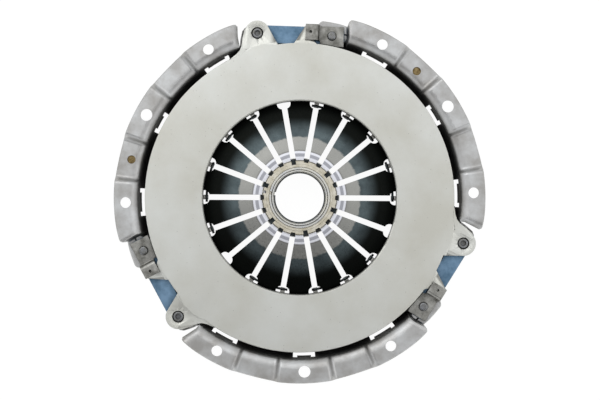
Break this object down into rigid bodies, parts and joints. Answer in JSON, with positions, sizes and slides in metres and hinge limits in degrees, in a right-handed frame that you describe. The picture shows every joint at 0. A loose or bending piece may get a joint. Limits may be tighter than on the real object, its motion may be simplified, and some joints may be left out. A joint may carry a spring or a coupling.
{
  "type": "clutch pressure plate",
  "caption": "Pull-type clutch cover assembly: pressed steel cover, diaphragm spring, strap-driven pressure plate and release collar.",
  "frame": {"origin": "centre of the bolt circle on the cover's mounting face", "axes": "+Z along the clutch axis towards the flywheel, +X and +Y in the mounting plane as in the picture"},
  "size_m": [0.2848, 0.2791, 0.0409],
  "materials": {
    "pressed_steel": "satin pickled sheet steel",
    "ground_iron": "ground friction face, cast back",
    "spring_steel": "tempered, shot peened",
    "blued_steel": "blued spring strip",
    "clip_steel": "phosphated",
    "rivet_steel": "dark, headed",
    "spring_wire": "drawn wire",
    "turned_steel": "turned",
    "chromated_steel": "pale yellow chromate"
  },
  "bodies": {
    "cover": {"cover": "pressed_steel", "diaphragm_spring": "spring_steel", "fulcrum_ring": "spring_wire", "cover_rivets": "rivet_steel", "stop_clip_1": "clip_steel", "stop_clip_2": "clip_steel", "stop_clip_3": "clip_steel", "strap_1_leaf_1": "blued_steel", "strap_1_leaf_2": "blued_steel", "strap_1_leaf_3": "blued_steel", "strap_2_leaf_1": "blued_steel", "strap_2_leaf_2": "blued_steel", "strap_2_leaf_3": "blued_steel", "strap_3_leaf_1": "blued_steel", "strap_3_leaf_2": "blued_steel", "strap_3_leaf_3": "blued_steel"},
    "pressure_plate": {"pressure_plate": "ground_iron", "lug_rivets": "rivet_steel", "retainer_wires": "spring_wire", "retainer_hooks": "clip_steel"},
    "release_collar": {"release_collar": "turned_steel", "thrust_washer": "chromated_steel", "snap_ring": "turned_steel", "bearing_lock_ring": "spring_wire", "wave_washer": "spring_wire"}
  },
  "joints": [
    {"name": "plate_lift", "type": "slide", "parent": "cover", "child": "pressure_plate", "axis": [0, 0, -1], "range_m": [0, 0.0055], "stiffness_N_per_m": 20000, "springref_m": -0.004, "deforming": ["diaphragm_spring", "strap_1_leaf_1", "strap_1_leaf_2", "strap_1_leaf_3", "strap_2_leaf_1", "strap_2_leaf_2", "strap_2_leaf_3", "strap_3_leaf_1", "strap_3_leaf_2", "strap_3_leaf_3"]},
    {"name": "release_stroke", "type": "slide", "parent": "cover", "child": "release_collar", "axis": [0, 0, -1], "range_m": [0, 0.0211]}
  ],
  "couplings": [
    {"joint": "release_stroke", "follows": "plate_lift", "ratio": 3.8182}
  ]
}
